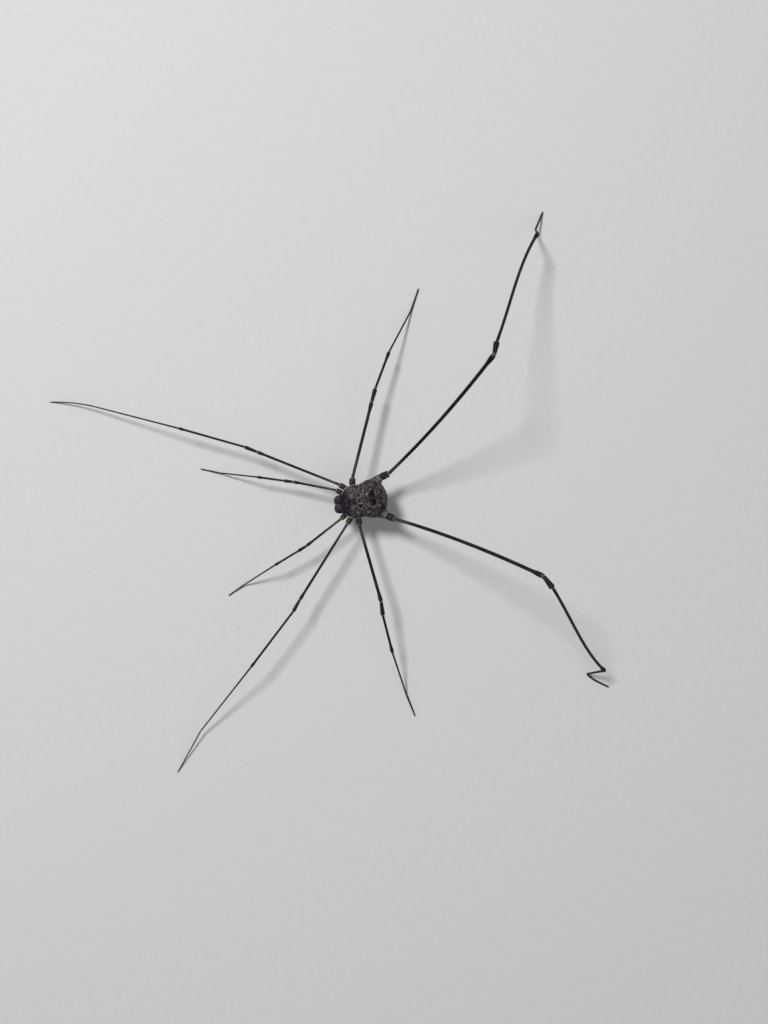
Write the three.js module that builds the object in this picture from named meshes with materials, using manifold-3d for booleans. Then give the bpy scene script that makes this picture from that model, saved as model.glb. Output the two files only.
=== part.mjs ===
// A harvestman of the armoured kind, life size, standing still with all eight legs spread.
// Millimetres, +Z up. The floor is z = 0 and the origin is the middle of the footprint.
// The body has a frame of its own: u runs forward, v to the animal's left, z up from the floor.
import * as THREE from "three";
import { mergeVertices } from "three/addons/utils/BufferGeometryUtils.js";
import Module from "manifold-3d";

// Driving sizes
const BODY_HEADING = 190.6; // degrees from +X, seen from above
const JOINT_GAP = 0.3; // between the faces of two neighbouring pieces
const HALF_GAP = JOINT_GAP / 2;
const EYE_GAP = 0.12; // an eye is under half a millimetre across
const LEG_SIDES = 8;
const BODY_SIDES = 32;
const BODY_FRONT = 2.62;
const BODY_REAR = -3.8;
const MIDDLE_HEIGHT = 4.9; // where the back shield meets the underside
const SQUARENESS = 2.5; // 2 is an ellipse, more has steeper flanks
const SHIELD_REAR = -3.05; // behind this come the free back plates
const TERGITE_BOTTOM = 4.3;
const TIP_HEIGHT = 0; // of the end of each foot's axis

// The body's half width, back and belly along u
const HALF_WIDTH = [
  [BODY_FRONT, 1.3], [2.3, 1.66], [1.9, 1.95], [1.4, 2.2], [0.4, 2.34], [-0.2, 2.38],
  [-1.3, 2.74], [-2.2, 2.68], [-3.1, 2.12], [-3.5, 1.42], [-3.72, 0.72], [BODY_REAR, 0.2],
];
const BACK_HEIGHT = [
  [BODY_FRONT, 5.4], [2.0, 5.78], [1.0, 6.15], [0.0, 6.62], [-1.4, 6.98], [-2.4, 6.78],
  [-3.1, 6.2], [-3.5, 5.7], [BODY_REAR, 5.1],
];
const BELLY_HEIGHT = [
  [BODY_FRONT, 4.35], [2.0, 3.85], [1.0, 3.45], [-0.5, 3.3], [-2.0, 3.35], [-3.0, 3.75],
  [-3.5, 4.2], [BODY_REAR, 4.7],
];

// Legs, one entry a pair: where the coxa starts and ends on the left side and its radii there,
// the lengths of the segments from trochanter to tarsus, the radius of the knob that is the
// trochanter, and the radius of the leg beyond it.
const SEGMENTS = ["trochanter", "femur", "patella", "tibia", "metatarsus", "tarsus"];
const LEG_PAIRS = {
  1: {
    coxaRoot: [1.6, 0.45, 4.2], coxaEnd: [2.42, 1.5, 4.3], coxaRadii: [0.45, 0.4],
    lengths: [1.1, 6.4, 1.4, 4.0, 6.9, 2.8], trochanterRadius: 0.38, thickness: 0.27,
  },
  2: {
    coxaRoot: [1.1, 0.5, 4.2], coxaEnd: [1.85, 2.12, 4.5], coxaRadii: [0.5, 0.42],
    lengths: [1.1, 12.9, 1.9, 10.0, 13.6, 7.5], trochanterRadius: 0.4, thickness: 0.28,
  },
  3: {
    coxaRoot: [0.4, 0.5, 4.2], coxaEnd: [0.88, 2.35, 4.6], coxaRadii: [0.52, 0.46],
    lengths: [1.1, 11.4, 2.0, 5.9, 8.0, 3.5], trochanterRadius: 0.46, thickness: 0.29,
  },
  4: {
    coxaRoot: [-0.9, 0.7, 4.4], coxaEnd: [-3.13, 2.71, 5.1], coxaRadii: [0.9, 0.6],
    lengths: [1.5, 23.8, 1.9, 22.9, 4.7, 3.85], trochanterRadius: 0.54, thickness: 0.3,
  },
};

// The stance: headings of the six segments, pitches of the first four, the height of the ankle,
// from which the last two pitches follow, and how far single segments bow to the left of their
// heading, before and past their middle, as shares of their length.
const STANCE = {
  left_1: { headings: [221, 218, 212, 211, 212, 215], pitches: [0, -3, -3, -4], ankle: 0.26 },
  right_1: { headings: [154, 169, 173, 172, 173, 168], pitches: [0, -6.5, -5.5, -5], ankle: 0.26 },
  left_2: { headings: [238, 238, 241, 232.8, 231.6, 240.5], pitches: [0, 0.5, 6, 0.5], ankle: 1.2 },
  right_2: {
    headings: [150, 158.3, 158, 164.2, 165.2, 173], pitches: [0, -2.7, 3, -1], ankle: 1.6,
    bows: { tarsus: [-0.04, -0.04] },
  },
  left_3: { headings: [279, 286, 277, 284, 287, 292], pitches: [1, 3, -4, -13], ankle: 0.26 },
  right_3: { headings: [88, 76, 75, 70, 64, 71], pitches: [-1, -3, -4.5, -7.5], ankle: 0.26 },
  left_4: {
    headings: [336.5, 339, 305, 308.8, 223, 328.9], pitches: [14, 34, 27.4, -41.3], ankle: 0.26,
    bows: { femur: [0.024, 0.024], tibia: [0, -0.045], tarsus: [-0.09, -0.04] },
  },
  right_4: {
    headings: [24.5, 47.3, 76.3, 67.3, 76.3, 66.1], pitches: [-10, 34.8, -21.6, -31.2], ankle: 1.68,
    bows: { femur: [-0.024, -0.024], tibia: [0, 0.045] },
  },
};
const BODY_PLACE = new THREE.Vector3(-3.28, 1.65, 0); // in the frame that the stance is set in

const material = (color, roughness) =>
  new THREE.MeshStandardMaterial({ color, roughness, metalness: 0 });
const SHIELD = material(0x3f393e, 0.65);
const UNDERSIDE = material(0x4c3f39, 0.65);
const HEAD = material(0x26212d, 0.5);
const EYE = material(0x07070a, 0.12);
const KNOB = material(0x352e2b, 0.6);
const LEG = material(0x1e1a17, 0.55);

const wasm = await Module();
wasm.setup();

// Solids for cutting and joining

function solidOf(geometry) {
  const bare = geometry.clone();
  bare.deleteAttribute("normal");
  bare.deleteAttribute("uv");
  const merged = mergeVertices(bare, 1e-5);
  return new wasm.Manifold(
    new wasm.Mesh({
      numProp: 3,
      vertProperties: new Float32Array(merged.attributes.position.array),
      triVerts: new Uint32Array(merged.index.array),
    }),
  );
}

// The largest closed surface of a solid, as a geometry.
function geometryOf(solid) {
  const pieces = solid.decompose().sort((a, b) => b.volume() - a.volume());
  const mesh = pieces[0].getMesh();
  const geometry = new THREE.BufferGeometry();
  geometry.setAttribute("position", new THREE.BufferAttribute(mesh.vertProperties, 3));
  geometry.setIndex(new THREE.BufferAttribute(mesh.triVerts, 1));
  geometry.computeVertexNormals();
  return geometry;
}

// A box between two corners, in the body's frame.
function boxSolid(low, high) {
  const size = high.map((value, i) => value - low[i]);
  const box = new THREE.BoxGeometry(...size);
  box.translate(...low.map((value, i) => value + size[i] / 2));
  return solidOf(box);
}

function ellipsoidSolid(centre, radii, sides = 24) {
  const ball = new THREE.SphereGeometry(1, sides, sides / 2);
  ball.scale(...radii);
  ball.translate(...centre);
  return solidOf(ball);
}

// Smooth value at u of a table of [u, value], its rows from front to rear.
function alongBody(table, u) {
  const last = table.length - 1;
  let i = 0;
  while (i < last - 1 && u < table[i + 1][0]) i += 1;
  const share = THREE.MathUtils.clamp((table[i][0] - u) / (table[i][0] - table[i + 1][0]), 0, 1);
  const values = [i - 1, i, i + 1, i + 2].map((j) => table[THREE.MathUtils.clamp(j, 0, last)][1]);
  const slopeIn = (values[2] - values[0]) / 2;
  const slopeOut = (values[3] - values[1]) / 2;
  const rise = values[2] - values[1];
  const cubic = slopeIn + slopeOut - 2 * rise;
  const square = 3 * rise - 2 * slopeIn - slopeOut;
  return values[1] + share * (slopeIn + share * (square + share * cubic));
}

// The whole trunk as one closed form, grown by an offset.
function bodySolid(offset = 0) {
  const stations = 30;
  const length = BODY_FRONT - BODY_REAR;
  const profile = [new THREE.Vector2(0, 0)];
  for (let i = 0; i <= stations; i += 1) {
    const share = (1 - Math.cos((Math.PI * i) / stations)) / 2;
    profile.push(new THREE.Vector2(1, share));
  }
  profile.push(new THREE.Vector2(0, 1));
  const trunk = new THREE.LatheGeometry(profile, BODY_SIDES);
  const position = trunk.attributes.position;
  const power = 2 / SQUARENESS;
  const curved = (value) => Math.sign(value) * Math.abs(value) ** power;
  for (let i = 0; i < position.count; i += 1) {
    const share = position.getY(i);
    const u = BODY_REAR + share * length;
    const across = -curved(position.getX(i)) * (alongBody(HALF_WIDTH, u) + offset);
    const upward = curved(position.getZ(i));
    const reach = upward > 0
      ? alongBody(BACK_HEIGHT, u) - MIDDLE_HEIGHT
      : MIDDLE_HEIGHT - alongBody(BELLY_HEIGHT, u);
    const stretched = u + (2 * share - 1) * offset;
    position.setXYZ(i, stretched, across, MIDDLE_HEIGHT + upward * (reach + offset));
  }
  return solidOf(trunk);
}

// Limbs

// A closed limb along a path. Its rings are turned from a lathe, then laid along the path:
// radii are [share of length, radius], flatness squeezes the limb along its up side, and the
// two end faces lie in planes through the ends, turned to the given normals and set back.
function limbGeometry({ path, radii, startNormal, endNormal, setbacks, flatness = 1, levelSide }) {
  const profile = [new THREE.Vector2(0, 0)];
  for (const [share, radius] of radii) profile.push(new THREE.Vector2(radius, share));
  profile.push(new THREE.Vector2(0, 1));
  const limb = new THREE.LatheGeometry(profile, LEG_SIDES);
  const position = limb.attributes.position;
  const start = path.getPoint(0);
  const end = path.getPoint(1);
  const chord = end.clone().sub(start).normalize();
  const side = levelSide ?? sideOf(chord);
  for (let i = 0; i < position.count; i += 1) {
    const share = position.getY(i);
    const centre = path.getPoint(share);
    const ahead = path.getTangent(share);
    const across = side.clone().addScaledVector(ahead, -ahead.dot(side)).normalize();
    const up = ahead.clone().cross(across).normalize();
    const spoke = across.multiplyScalar(position.getX(i));
    spoke.addScaledVector(up, -position.getZ(i) * flatness);
    const fromStart = (setbacks[0] - spoke.dot(startNormal)) / chord.dot(startNormal);
    const fromEnd = (setbacks[1] + spoke.dot(endNormal)) / chord.dot(endNormal);
    const shift = fromStart * (1 - share) - fromEnd * share;
    const point = centre.add(spoke).addScaledVector(chord, shift);
    position.setXYZ(i, point.x, point.y, Math.max(point.z, 0));
  }
  limb.computeVertexNormals();
  return limb;
}

// A level direction square to a heading.
function sideOf(direction) {
  const level = new THREE.Vector3(-direction.y, direction.x, 0);
  return level.lengthSq() > 1e-8 ? level.normalize() : new THREE.Vector3(0, 1, 0);
}

function directionOf(heading, pitch) {
  const h = THREE.MathUtils.degToRad(heading);
  const p = THREE.MathUtils.degToRad(pitch);
  return new THREE.Vector3(Math.cos(p) * Math.cos(h), Math.cos(p) * Math.sin(h), Math.sin(p));
}

// A line from start to end, whose two inner control points are moved to its left by shares of
// its length.
function bowedPath(start, end, bows) {
  const chord = end.clone().sub(start);
  const swing = sideOf(chord).multiplyScalar(chord.length());
  const [early, late] = bows.map((bow, i) =>
    start.clone().addScaledVector(chord, (i + 1) / 3).addScaledVector(swing, bow),
  );
  return new THREE.CubicBezierCurve3(start, early, late, end);
}

const scaled = (radius, rows) => rows.map(([share, factor]) => [share, radius * factor]);
const THINNEST = 0.27; // radius, of metatarsi and tarsi

// Radii along each kind of segment, from the leg's thickness.
function segmentRadii(name, pair) {
  const r = pair.thickness;
  const knob = pair.trochanterRadius;
  const thin = Math.min(r, THINNEST);
  return {
    trochanter: scaled(knob, [[0, 0.72], [0.22, 0.98], [0.5, 1], [0.8, 0.94], [1, 0.78]]),
    femur: scaled(r, [[0, 1], [0.05, 0.92], [0.5, 0.96], [0.86, 1.04], [0.96, 1.3], [1, 1.14]]),
    patella: scaled(r, [[0, 0.95], [0.25, 1], [0.62, 1.25], [0.86, 1.42], [1, 1.15]]),
    tibia: scaled(r, [[0, 0.95], [0.1, 0.9], [0.6, 0.95], [0.9, 1.2], [0.97, 1.24], [1, 1.05]]),
    metatarsus: scaled(thin, [[0, 1], [0.1, 1], [0.5, 0.97], [1, 0.97]]),
    tarsus: scaled(thin, [[0, 0.97], [0.35, 0.95], [0.75, 0.85], [0.95, 0.55], [1, 0.3]]),
  }[name];
}

// A point of the body's frame in the frame that the stance is set in.
function placed([u, v, z]) {
  const turned = new THREE.Vector3(u, v, z);
  turned.applyAxisAngle(new THREE.Vector3(0, 0, 1), THREE.MathUtils.degToRad(BODY_HEADING));
  return turned.add(BODY_PLACE);
}

const mirrored = ([u, v, z], sideName) => [u, sideName === "left" ? v : -v, z];

// Each leg's joints, from the root of its coxa to the tip of its tarsus.
function legJoints(sideName, number) {
  const pair = LEG_PAIRS[number];
  const { headings, pitches, ankle } = STANCE[`${sideName}_${number}`];
  const ends = [pair.coxaRoot, pair.coxaEnd];
  const joints = ends.map((point) => placed(mirrored(point, sideName)));
  const fallTo = (height, length) =>
    THREE.MathUtils.radToDeg(Math.asin((height - joints.at(-1).z) / length));
  pair.lengths.forEach((length, i) => {
    let pitch = pitches[i];
    if (i === 4) pitch = fallTo(ankle, length);
    if (i === 5) pitch = fallTo(TIP_HEIGHT, length);
    joints.push(joints.at(-1).clone().addScaledVector(directionOf(headings[i], pitch), length));
  });
  return joints;
}

// The plane between two segments that meet at a bend halves the bend.
function bendNormal(joints, i) {
  const before = joints[i].clone().sub(joints[i - 1]).normalize();
  const after = (joints[i + 1] ?? joints[i].clone().add(before)).clone().sub(joints[i]).normalize();
  return before.add(after).normalize();
}

function legMeshes(sideName, number) {
  const pair = LEG_PAIRS[number];
  const joints = legJoints(sideName, number);
  const bows = STANCE[`${sideName}_${number}`].bows ?? {};
  return SEGMENTS.map((name, i) => {
    const geometry = limbGeometry({
      path: bowedPath(joints[i + 1], joints[i + 2], bows[name] ?? [0, 0]),
      radii: segmentRadii(name, pair),
      startNormal: bendNormal(joints, i + 1),
      endNormal: bendNormal(joints, i + 2),
      setbacks: [HALF_GAP, name === "tarsus" ? 0 : HALF_GAP],
    });
    const mesh = new THREE.Mesh(geometry, name === "trochanter" ? KNOB : LEG);
    mesh.name = `leg_${sideName}_${number}_${name}`;
    return mesh;
  });
}

// Trunk

// A coxa in the body's frame, grown by an offset, its end face square to the bend of the leg.
function coxaSolid(sideName, number, offset = 0) {
  const { coxaRoot, coxaEnd, coxaRadii } = LEG_PAIRS[number];
  const start = new THREE.Vector3(...mirrored(coxaRoot, sideName));
  const end = new THREE.Vector3(...mirrored(coxaEnd, sideName));
  const joints = legJoints(sideName, number);
  const turn = -THREE.MathUtils.degToRad(BODY_HEADING);
  const endNormal = bendNormal(joints, 1).applyAxisAngle(new THREE.Vector3(0, 0, 1), turn);
  const [root, tip] = coxaRadii.map((radius) => radius + offset);
  return solidOf(limbGeometry({
    path: new THREE.LineCurve3(start, end),
    radii: [[0, root * 0.8], [0.3, root], [0.75, (root + tip) / 2], [0.92, tip], [1, tip * 0.86]],
    startNormal: end.clone().sub(start).normalize(),
    endNormal,
    setbacks: [HALF_GAP - offset, HALF_GAP - offset],
  }));
}

const everyLeg = ["left", "right"].flatMap((sideName) =>
  [1, 2, 3, 4].map((number) => [sideName, number]),
);
const FAR = 10; // past the body on every side

// The low mound that carries the eyes, sunk into the shield.
const MOUND = { centre: [2.0, 0, 5.5], radii: [0.52, 0.82, 0.62], bottom: 5.42 };
const EYE_BALL = { forward: 2.02, side: 0.44, height: 5.93, radius: 0.23 };

function moundSolid(offset = 0) {
  const { centre, radii, bottom } = MOUND;
  const grown = ellipsoidSolid(centre, radii.map((radius) => radius + offset));
  return grown.intersect(boxSolid([-FAR, -FAR, bottom - offset], [FAR, FAR, FAR]));
}

function eyeSolid(sign, offset = 0) {
  const { forward, side, height, radius } = EYE_BALL;
  const grown = radius + offset;
  return ellipsoidSolid([forward, sign * side, height], [grown, grown, grown], 16);
}

function trunkMeshes() {
  const whole = bodySolid();
  const coxae = everyLeg.map(([sideName, number]) => coxaSolid(sideName, number));
  const roomForCoxae = everyLeg.map(([sideName, number]) => coxaSolid(sideName, number, JOINT_GAP));
  const shieldEdge = SHIELD_REAR + HALF_GAP;
  const tergiteEdge = SHIELD_REAR - HALF_GAP;
  const top = [FAR, FAR, FAR];
  const aboveMiddle = boxSolid([shieldEdge, -FAR, MIDDLE_HEIGHT + HALF_GAP], top);
  const behindShield = boxSolid([-FAR, -FAR, TERGITE_BOTTOM + HALF_GAP], [tergiteEdge, FAR, FAR]);
  const notUnderside = boxSolid([tergiteEdge, -FAR, MIDDLE_HEIGHT - HALF_GAP], top)
    .add(boxSolid([-FAR, -FAR, TERGITE_BOTTOM - HALF_GAP], [shieldEdge, FAR, FAR]));
  let shield = whole.intersect(aboveMiddle).subtract(moundSolid(JOINT_GAP));
  let tergites = whole.intersect(behindShield);
  for (const room of roomForCoxae) {
    shield = shield.subtract(room);
    tergites = tergites.subtract(room);
  }
  let underside = whole.subtract(notUnderside);
  for (const coxa of coxae) underside = underside.add(coxa);
  let mound = moundSolid();
  for (const sign of [1, -1]) mound = mound.subtract(eyeSolid(sign, EYE_GAP));
  const meshes = [
    ["scutum", shield, SHIELD],
    ["free_tergites", tergites, SHIELD],
    ["venter_and_coxae", underside, UNDERSIDE],
    ["ocularium", mound, SHIELD],
    ["eye_left", eyeSolid(1), EYE],
    ["eye_right", eyeSolid(-1), EYE],
  ];
  return meshes.map(([name, solid, finish]) => {
    const mesh = new THREE.Mesh(geometryOf(solid), finish);
    mesh.name = name;
    return mesh;
  });
}

// Mouthparts: the flattened pedipalps folded over the front, and the chelicerae behind them.
const PEDIPALP = {
  path: [
    [2.96, 0.68, 5.02], [3.34, 0.69, 5.2], [3.68, 0.68, 4.86], [3.75, 0.6, 4.3], [3.56, 0.5, 3.82],
  ],
  radii: [[0, 0.4], [0.1, 0.48], [0.3, 0.53], [0.55, 0.52], [0.8, 0.36], [1, 0.08]],
  flatness: 0.42,
};
const CHELICERA = {
  path: [[2.84, 0.42, 4.42], [3.12, 0.42, 4.3], [3.2, 0.4, 3.9], [3.14, 0.36, 3.5]],
  radii: [[0, 0.2], [0.12, 0.24], [0.45, 0.25], [0.75, 0.22], [1, 0.08]],
  flatness: 0.85,
};

function mouthpart(name, sideName, { path, radii, flatness }) {
  const points = path.map((point) => new THREE.Vector3(...mirrored(point, sideName)));
  const curve = new THREE.CatmullRomCurve3(points);
  const chord = points.at(-1).clone().sub(points[0]).normalize();
  const geometry = limbGeometry({
    path: curve, radii, flatness, levelSide: new THREE.Vector3(0, 1, 0),
    startNormal: chord, endNormal: chord, setbacks: [0, 0],
  });
  const mesh = new THREE.Mesh(geometry, HEAD);
  mesh.name = `${name}_${sideName}`;
  return mesh;
}

// Assembly

const body = new THREE.Group();
body.position.copy(BODY_PLACE);
body.rotation.z = THREE.MathUtils.degToRad(BODY_HEADING);
body.add(...trunkMeshes());
for (const sideName of ["left", "right"]) {
  body.add(mouthpart("chelicera", sideName, CHELICERA));
  body.add(mouthpart("pedipalp", sideName, PEDIPALP));
}

const harvestman = new THREE.Group();
harvestman.add(body);
for (const [sideName, number] of everyLeg) harvestman.add(...legMeshes(sideName, number));

// The origin goes to the middle of the footprint, on the floor.
const footprint = new THREE.Box3().setFromObject(harvestman, true);
const middle = footprint.getCenter(new THREE.Vector3());
for (const child of harvestman.children) {
  child.position.x -= middle.x;
  child.position.y -= middle.y;
}

export default harvestman;
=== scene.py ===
# The looks of a still, life-size harvestman. Sizes are in millimetres until a mesh is made.
# The body has a frame of its own: u runs forward, v to the animal's left, z up from the floor.
import math
import random

import bpy
import numpy as np
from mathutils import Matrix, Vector, kdtree, noise


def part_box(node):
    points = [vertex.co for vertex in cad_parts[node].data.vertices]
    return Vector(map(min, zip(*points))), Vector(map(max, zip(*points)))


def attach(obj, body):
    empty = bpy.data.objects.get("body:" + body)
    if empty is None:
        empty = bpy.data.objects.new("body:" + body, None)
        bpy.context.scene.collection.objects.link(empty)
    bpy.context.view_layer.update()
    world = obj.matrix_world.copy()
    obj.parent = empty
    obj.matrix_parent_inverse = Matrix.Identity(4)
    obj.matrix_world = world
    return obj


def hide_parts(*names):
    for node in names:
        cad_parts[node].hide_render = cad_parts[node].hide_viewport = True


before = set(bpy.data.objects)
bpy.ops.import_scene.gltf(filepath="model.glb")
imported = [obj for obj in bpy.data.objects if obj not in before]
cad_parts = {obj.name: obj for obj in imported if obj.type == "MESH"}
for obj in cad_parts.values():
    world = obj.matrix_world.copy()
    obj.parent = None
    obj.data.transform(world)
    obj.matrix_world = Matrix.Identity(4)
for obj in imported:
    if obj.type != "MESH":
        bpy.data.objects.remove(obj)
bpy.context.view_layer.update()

MM = 0.001
LEFT, RIGHT = 1, -1
SIDE_NAMES = {LEFT: "left", RIGHT: "right"}
SEED = 7
rng = random.Random(SEED)
scene = bpy.context.scene

# Camera: straight down on the middle of the picture
PHOTO_HEIGHT = 1024  # pixels
PIXEL = 0.15  # on the floor
CAMERA_DISTANCE = 769  # pixels of floor
CAMERA_HEIGHT = CAMERA_DISTANCE * PIXEL
SENSOR = 24.0

# Trunk: its outlines are tables of [u, value], from front to rear
BODY_HEADING = 190.6
BODY_PLACE = np.array([-3.28, 1.65, 0.0])
BODY_FRONT = 2.62
BODY_REAR = -3.8
MIDDLE_HEIGHT = 4.9
SQUARENESS = 2.5  # of its sections: 2 is an ellipse
HALF_WIDTH = [
    [BODY_FRONT, 1.3], [2.3, 1.66], [1.9, 1.95], [1.4, 2.2], [0.4, 2.34], [-0.2, 2.38],
    [-1.3, 2.74], [-2.2, 2.68], [-3.1, 2.12], [-3.5, 1.42], [-3.72, 0.72], [BODY_REAR, 0.2],
]
BACK_HEIGHT = [
    [BODY_FRONT, 5.4], [2.0, 5.78], [1.0, 6.15], [0.0, 6.62], [-1.4, 6.98], [-2.4, 6.78],
    [-3.1, 6.2], [-3.5, 5.7], [BODY_REAR, 5.1],
]
BELLY_HEIGHT = [
    [BODY_FRONT, 4.35], [2.0, 3.85], [1.0, 3.45], [-0.5, 3.3], [-2.0, 3.35], [-3.0, 3.75],
    [-3.5, 4.2], [BODY_REAR, 4.7],
]
MOUND = {
    "centre": (2.0, 0.0, 5.5), "radii": (0.52, 0.82, 0.62), "softness": 0.035, "edge": 0.12,
}
EYE_CENTRE = (2.02, 0.44, 5.93)
EYE_RADIUS = 0.23

# Legs, an entry a pair: where the coxa starts and ends on the left side, its radii there, the
# lengths of the segments from trochanter to tarsus, and their radii near the base and the end.
SEGMENTS = ["trochanter", "femur", "patella", "tibia", "metatarsus", "tarsus"]
LEG_PAIRS = {
    1: {
        "coxa_root": (1.6, 0.45, 4.2), "coxa_end": (2.42, 1.5, 4.3), "coxa_radii": (0.45, 0.4),
        "lengths": (1.1, 6.4, 1.4, 4.0, 6.9, 2.8), "knob": 0.38, "tarsomeres": 6,
        "radii": ((0.165, 0.23), (0.19, 0.25), (0.15, 0.2), (0.115, 0.1), (0.11, 0.085)),
    },
    2: {
        "coxa_root": (1.1, 0.5, 4.2), "coxa_end": (1.85, 2.12, 4.5), "coxa_radii": (0.5, 0.42),
        "lengths": (1.1, 12.9, 1.9, 10.0, 13.6, 7.5), "knob": 0.4, "tarsomeres": 14,
        "radii": ((0.18, 0.25), (0.21, 0.27), (0.155, 0.21), (0.12, 0.1), (0.1, 0.075)),
    },
    3: {
        "coxa_root": (0.4, 0.5, 4.2), "coxa_end": (0.88, 2.35, 4.6), "coxa_radii": (0.52, 0.46),
        "lengths": (1.1, 11.4, 2.0, 5.9, 8.0, 3.5), "knob": 0.46, "tarsomeres": 7,
        "radii": ((0.22, 0.3), (0.25, 0.33), (0.18, 0.255), (0.135, 0.12), (0.13, 0.1)),
    },
    4: {
        "coxa_root": (-0.9, 0.7, 4.4), "coxa_end": (-3.13, 2.71, 5.1), "coxa_radii": (0.9, 0.6),
        "lengths": (1.5, 23.8, 1.9, 22.9, 4.7, 3.85), "knob": 0.53, "tarsomeres": 7,
        "radii": ((0.235, 0.35), (0.28, 0.4), (0.195, 0.31), (0.175, 0.145), (0.155, 0.12)),
    },
}
# How each leg is held: the headings of its segments in degrees, the pitches of the first four,
# the height of the ankle, and how far bent segments bow to their left before and past the middle
STANCE = {
    (LEFT, 1): ((221, 218, 212, 211, 212, 215), (0, -3, -3, -4), 0.26, {}),
    (RIGHT, 1): ((154, 169, 173, 172, 173, 168), (0, -6.5, -5.5, -5), 0.26, {}),
    (LEFT, 2): ((238, 238, 241, 232.8, 231.6, 240.5), (0, 0.5, 6, 0.5), 1.2, {}),
    (RIGHT, 2): (
        (150, 158.3, 158, 164.2, 165.2, 173), (0, -2.7, 3, -1), 1.6, {"tarsus": (-0.04, -0.04)},
    ),
    (LEFT, 3): ((279, 286, 277, 284, 287, 292), (1, 3, -4, -13), 0.26, {}),
    (RIGHT, 3): ((88, 76, 75, 70, 64, 71), (-1, -3, -4.5, -7.5), 0.26, {}),
    (LEFT, 4): (
        (336.5, 339, 305, 308.8, 223, 328.9), (14, 34, 27.4, -41.3), 0.26,
        {"femur": (0.024, 0.024), "tibia": (0, -0.045), "tarsus": (-0.09, -0.04)},
    ),
    (RIGHT, 4): (
        (24.5, 47.3, 76.3, 67.3, 76.3, 66.1), (-10, 34.8, -21.6, -31.2), 1.68,
        {"femur": (-0.024, -0.024), "tibia": (0, 0.045)},
    ),
}


# Places

def turned(points):
    """Points of the body's frame, in the frame that the stance is set in."""
    angle = math.radians(BODY_HEADING)
    c, s = math.cos(angle), math.sin(angle)
    spun = np.stack([c * points[..., 0] - s * points[..., 1],
                     s * points[..., 0] + c * points[..., 1], points[..., 2]], -1)
    return spun + BODY_PLACE


def mirrored(point, side):
    """A point given for the left side, on the side asked for."""
    return np.array([point[0], side * point[1], point[2]])


def middle_of(node):
    low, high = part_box(node)
    return np.array((Vector(low) + Vector(high)) / 2) / MM


eyes_in_cad = (middle_of("eye_left") + middle_of("eye_right")) / 2
eyes_in_stance = turned(np.array([EYE_CENTRE[0], 0, EYE_CENTRE[2]]))
STANCE_TO_WORLD = np.array([*(eyes_in_cad - eyes_in_stance)[:2], 0.0])


def in_metres(points):
    """Points of the stance, in the frame of the CAD."""
    return (points + STANCE_TO_WORLD) * MM


# Making meshes

def part(points, faces, **marks):
    """A closed surface: its points, its faces and one row of marks for each point."""
    return {"points": points, "faces": faces, "marks": marks}


def joined(parts):
    """One surface of several. Where a part has no such mark, its row is zero."""
    marks = {}
    for name in sorted({name for p in parts for name in p["marks"]}):
        shape = next(p["marks"][name] for p in parts if name in p["marks"]).shape[1:]
        rows = [p["marks"].get(name, np.zeros((len(p["points"]), *shape))) for p in parts]
        marks[name] = np.concatenate(rows)
    faces = []
    first = 0
    for p in parts:
        faces += [[index + first for index in face] for face in p["faces"]]
        first += len(p["points"])
    return part(np.concatenate([p["points"] for p in parts]), faces, **marks)


def added(name, data):
    made = bpy.data.objects.new(name, data)
    scene.collection.objects.link(made)
    return made


def piece(name, surface, material, nodes):
    """Adds a surface to the scene in place of its CAD nodes."""
    mesh = bpy.data.meshes.new(name)
    mesh.from_pydata(in_metres(surface["points"]).tolist(), [], surface["faces"])
    for mark, values in surface["marks"].items():
        kind, key = ("FLOAT_VECTOR", "vector") if values.ndim == 2 else ("FLOAT", "value")
        data = mesh.attributes.new(mark, kind, "POINT").data
        data.foreach_set(key, values.astype(np.float32).ravel())
    mesh.polygons.foreach_set("use_smooth", [True] * len(mesh.polygons))
    mesh.materials.append(material)
    made = added(name, mesh)
    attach(made, "root")
    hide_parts(*nodes)


def unit(vectors):
    return vectors / np.maximum(np.linalg.norm(vectors, axis=-1, keepdims=True), 1e-12)


def grid_faces(rings, sides):
    """Quads of a tube of rings, its sides closed on themselves, with a fan over each end."""
    faces = []
    for i in range(rings - 1):
        a, b = i * sides, (i + 1) * sides
        for k in range(sides):
            n = (k + 1) % sides
            faces.append([a + k, a + n, b + n, b + k])
    start, end = rings * sides, rings * sides + 1
    last = (rings - 1) * sides
    for k in range(sides):
        n = (k + 1) % sides
        faces.append([start, n, k])
        faces.append([end, last + k, last + n])
    return faces


def with_ends(values):
    """Values of a tube's rings, with those of its two end points added."""
    return np.concatenate([values, values[[0, -1]]])


def over_rings(values, sides):
    """One value a ring, spread over the points of a tube."""
    return with_ends(np.repeat(values, sides))


def full_turn(count):
    return np.linspace(0, 2 * math.pi, count, endpoint=False)


def superellipse(angles, squareness):
    """Places on a rounded, squarish outline with half sizes of 1."""
    cosine, sine, power = np.cos(angles), np.sin(angles), 2 / squareness
    return np.sign(cosine) * np.abs(cosine) ** power, np.sign(sine) * np.abs(sine) ** power


def smooth_step(low, high, value):
    """From 0 at low to 1 at high, which may be the smaller one."""
    share = np.clip((value - low) / (high - low), 0, 1)
    return share * share * (3 - 2 * share)


def bell(away, height, width):
    return height * np.exp(-((away / width) ** 2))


# Trunk

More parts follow.
